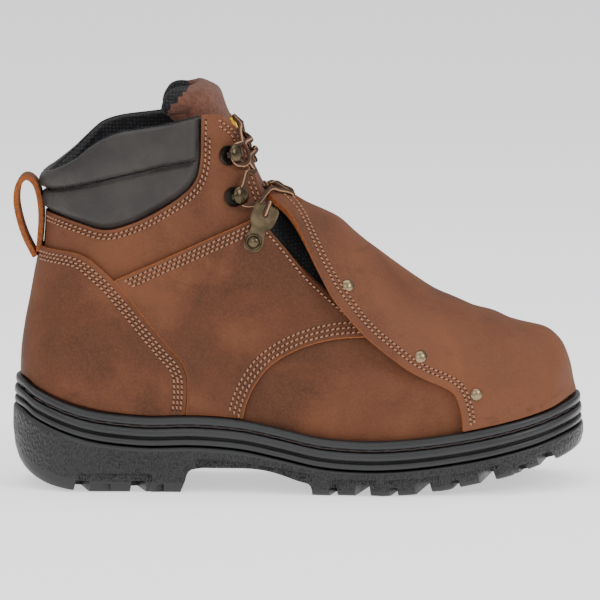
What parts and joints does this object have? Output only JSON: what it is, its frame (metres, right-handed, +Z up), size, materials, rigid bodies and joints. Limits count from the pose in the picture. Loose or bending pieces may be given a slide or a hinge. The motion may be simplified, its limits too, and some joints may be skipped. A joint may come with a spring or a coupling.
{
  "type": "metatarsal guard boot",
  "caption": "Right-foot lace-up leather work boot with a riveted guard flap over the instep, padded collar, heel pull loop and lugged rubber sole.",
  "frame": {"origin": "on the floor under the middle of the boot's box", "axes": "+X from heel to toe, +Y to the inner side of the right foot, +Z up"},
  "size_m": [0.3126, 0.1136, 0.2188],
  "materials": {
    "leather": "oiled nubuck with pale raw edges",
    "suede": "napped suede",
    "pad": "soft padded leather",
    "lining": "knitted mesh",
    "rubber": "matte with stippled side",
    "antique_brass": "dark burnished",
    "lace": "braided cord",
    "label": "woven"
  },
  "bodies": {
    "root": {"upper": "leather", "heel_counter": "leather", "quarter_lateral": "leather", "quarter_medial": "leather", "guard_flap": "leather", "pull_loop": "leather", "collar_pad": "pad", "tongue": "suede", "tongue_label": "label", "insole": "lining", "welt": "rubber", "midsole": "rubber", "outsole": "rubber", "laces": "lace", "rivet_lateral_1": "antique_brass", "rivet_lateral_2": "antique_brass", "rivet_lateral_3": "antique_brass", "hook_lateral_1": "antique_brass", "hook_lateral_2": "antique_brass", "lace_clip_lateral": "antique_brass", "rivet_medial_1": "antique_brass", "rivet_medial_2": "antique_brass", "rivet_medial_3": "antique_brass", "hook_medial_1": "antique_brass", "hook_medial_2": "antique_brass", "lace_clip_medial": "antique_brass"}
  },
  "joints": []
}
